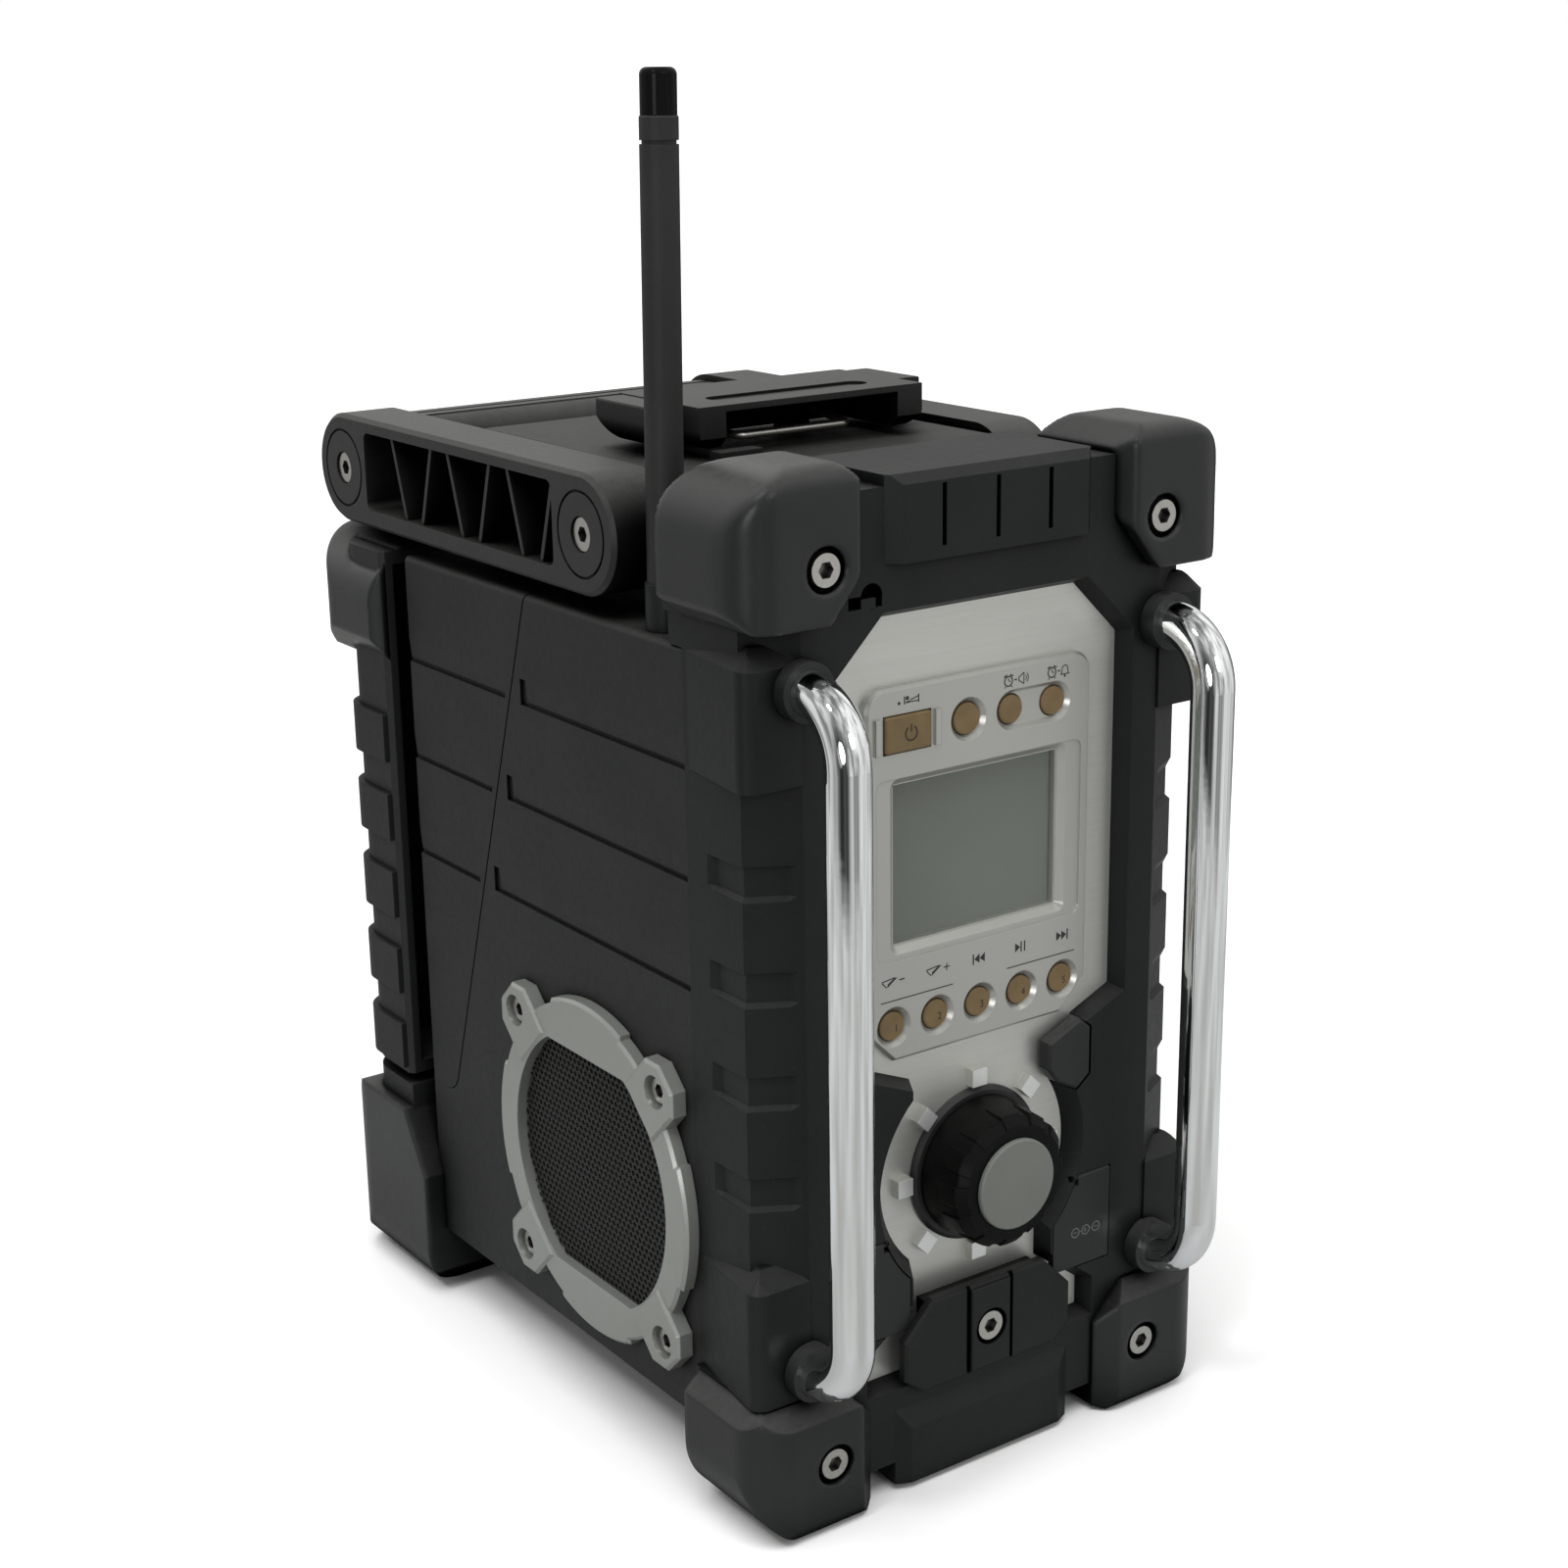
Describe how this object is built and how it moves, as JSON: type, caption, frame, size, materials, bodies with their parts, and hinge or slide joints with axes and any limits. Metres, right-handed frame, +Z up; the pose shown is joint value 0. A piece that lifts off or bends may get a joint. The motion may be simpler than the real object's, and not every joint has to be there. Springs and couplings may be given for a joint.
{
  "type": "jobsite radio",
  "caption": "Portable jobsite radio in a guarded housing with a folding carrying handle, side speakers, a hinged battery door, a tuning knob and keys under chrome guard bars.",
  "frame": {"origin": "on the ground under the middle of the radio's bounding box", "axes": "+X right seen from the front, +Y to the rear, +Z up; the front faces -Y"},
  "size_m": [0.163, 0.2611, 0.3847],
  "materials": {
    "housing": "fine-grained charcoal moulded plastic",
    "guard_plastic": "smooth dark moulded plastic",
    "bumper_rubber": "soft matt black elastomer",
    "handle_plastic": "fine-grained charcoal moulded plastic",
    "brushed_plate": "warm silver with fine horizontal brushing",
    "silver_moulding": "satin silver paint on moulded plastic",
    "speaker_silver": "satin silver paint",
    "chrome": "polished chrome plate",
    "steel": "plain stainless steel",
    "mesh": "black painted perforated sheet",
    "driver": "black pulp cone and stamped basket",
    "display_glass": "clear window",
    "display_grey": "grey-green liquid crystal panel",
    "circuit": "green solder-masked board",
    "electronics": "black moulded electrical part",
    "tan_key": "semi-gloss translucent tan rubber",
    "black_key": "soft matt black rubber",
    "knob_rubber": "soft matt black rubber",
    "knob_grey": "satin grey moulded plastic",
    "antenna_rubber": "matt black rubber sleeve",
    "gloss_black": "gloss black moulding"
  },
  "bodies": {
    "root": {"main_housing": "housing", "rear_housing": "housing", "battery_terminals": "electronics", "top_deck": "housing", "hinge_pins": "steel", "front_frame": "guard_plastic", "bumper_top_right": "bumper_rubber", "bumper_top_left": "bumper_rubber", "bumper_foot_right": "bumper_rubber", "bumper_foot_left": "bumper_rubber", "rear_foot_right": "bumper_rubber", "rear_foot_left": "bumper_rubber", "front_screws": "steel", "front_panel": "brushed_plate", "button_bezel": "silver_moulding", "display_lens": "display_glass", "display_module": "display_grey", "circuit_board": "circuit", "encoder": "electronics", "dial_ring": "black_key", "jack_sockets": "electronics", "guard_block": "guard_plastic", "guard_bar_right": "chrome", "guard_bar_left": "chrome", "bar_collars": "black_key", "speaker_ring_right": "speaker_silver", "speaker_ring_left": "speaker_silver", "speaker_mesh_right": "mesh", "speaker_mesh_left": "mesh", "speaker_driver_right": "driver", "speaker_driver_left": "driver", "speaker_screws": "steel", "pivot_bolts": "steel", "antenna_mast": "antenna_rubber", "antenna_cap": "gloss_black", "antenna_foot": "guard_plastic"},
    "handle": {"handle_arm_right": "handle_plastic", "handle_arm_left": "handle_plastic", "handle_grip": "handle_plastic", "grip_bolts": "steel"},
    "battery_door": {"battery_door": "housing", "door_bumper_right": "bumper_rubber", "door_bumper_left": "bumper_rubber"},
    "latch_lever": {"latch_lever": "handle_plastic", "latch_wire": "steel"},
    "tuning_knob": {"tuning_knob": "knob_rubber", "knob_cap": "knob_grey", "knob_shaft": "steel"},
    "power_button": {"power_button": "tan_key"},
    "source_button": {"source_button": "tan_key"},
    "alarm_button_radio": {"alarm_button_radio": "tan_key"},
    "alarm_button_buzzer": {"alarm_button_buzzer": "tan_key"},
    "menu_button": {"menu_button": "black_key"},
    "dc_cover": {"dc_cover": "black_key"},
    "aux_cover": {"aux_cover": "black_key"},
    "preset_button_1": {"preset_button_1": "tan_key"},
    "preset_button_2": {"preset_button_2": "tan_key"},
    "preset_button_3": {"preset_button_3": "tan_key"},
    "preset_button_4": {"preset_button_4": "tan_key"},
    "preset_button_5": {"preset_button_5": "tan_key"}
  },
  "joints": [
    {"name": "handle_swing", "type": "hinge", "parent": "root", "child": "handle", "pos_m": [0, -0.0275, 0.2658], "axis": [1, 0, 0], "range_deg": [0, 90]},
    {"name": "battery_door_swing", "type": "hinge", "parent": "root", "child": "battery_door", "pos_m": [0, 0.116, 0.072], "axis": [-1, 0, 0], "range_deg": [0, 90]},
    {"name": "latch_lever_lift", "type": "hinge", "parent": "root", "child": "latch_lever", "pos_m": [0, 0.008, 0.29], "axis": [-1, 0, 0], "range_deg": [0, 70]},
    {"name": "tuning_knob_spin", "type": "hinge", "parent": "root", "child": "tuning_knob", "pos_m": [0, -0.11, 0.0902], "axis": [0, -1, 0], "continuous": true},
    {"name": "dc_cover_swing", "type": "hinge", "parent": "root", "child": "dc_cover", "pos_m": [0.04, -0.1029, 0.0765], "axis": [-1, 0, 0], "range_deg": [0, 90]},
    {"name": "aux_cover_swing", "type": "hinge", "parent": "root", "child": "aux_cover", "pos_m": [-0.04, -0.1029, 0.0765], "axis": [-1, 0, 0], "range_deg": [0, 90]},
    {"name": "power_button_press", "type": "slide", "parent": "root", "child": "power_button", "axis": [0, 1, 0], "range_m": [0, 0.001], "stiffness_N_per_m": 300},
    {"name": "source_button_press", "type": "slide", "parent": "root", "child": "source_button", "axis": [0, 1, 0], "range_m": [0, 0.001], "stiffness_N_per_m": 300},
    {"name": "alarm_button_radio_press", "type": "slide", "parent": "root", "child": "alarm_button_radio", "axis": [0, 1, 0], "range_m": [0, 0.001], "stiffness_N_per_m": 300},
    {"name": "alarm_button_buzzer_press", "type": "slide", "parent": "root", "child": "alarm_button_buzzer", "axis": [0, 1, 0], "range_m": [0, 0.001], "stiffness_N_per_m": 300},
    {"name": "menu_button_press", "type": "slide", "parent": "root", "child": "menu_button", "axis": [0, 1, 0], "range_m": [0, 0.001], "stiffness_N_per_m": 300},
    {"name": "preset_button_1_press", "type": "slide", "parent": "root", "child": "preset_button_1", "axis": [0, 1, 0], "range_m": [0, 0.001], "stiffness_N_per_m": 300},
    {"name": "preset_button_2_press", "type": "slide", "parent": "root", "child": "preset_button_2", "axis": [0, 1, 0], "range_m": [0, 0.001], "stiffness_N_per_m": 300},
    {"name": "preset_button_3_press", "type": "slide", "parent": "root", "child": "preset_button_3", "axis": [0, 1, 0], "range_m": [0, 0.001], "stiffness_N_per_m": 300},
    {"name": "preset_button_4_press", "type": "slide", "parent": "root", "child": "preset_button_4", "axis": [0, 1, 0], "range_m": [0, 0.001], "stiffness_N_per_m": 300},
    {"name": "preset_button_5_press", "type": "slide", "parent": "root", "child": "preset_button_5", "axis": [0, 1, 0], "range_m": [0, 0.001], "stiffness_N_per_m": 300}
  ]
}
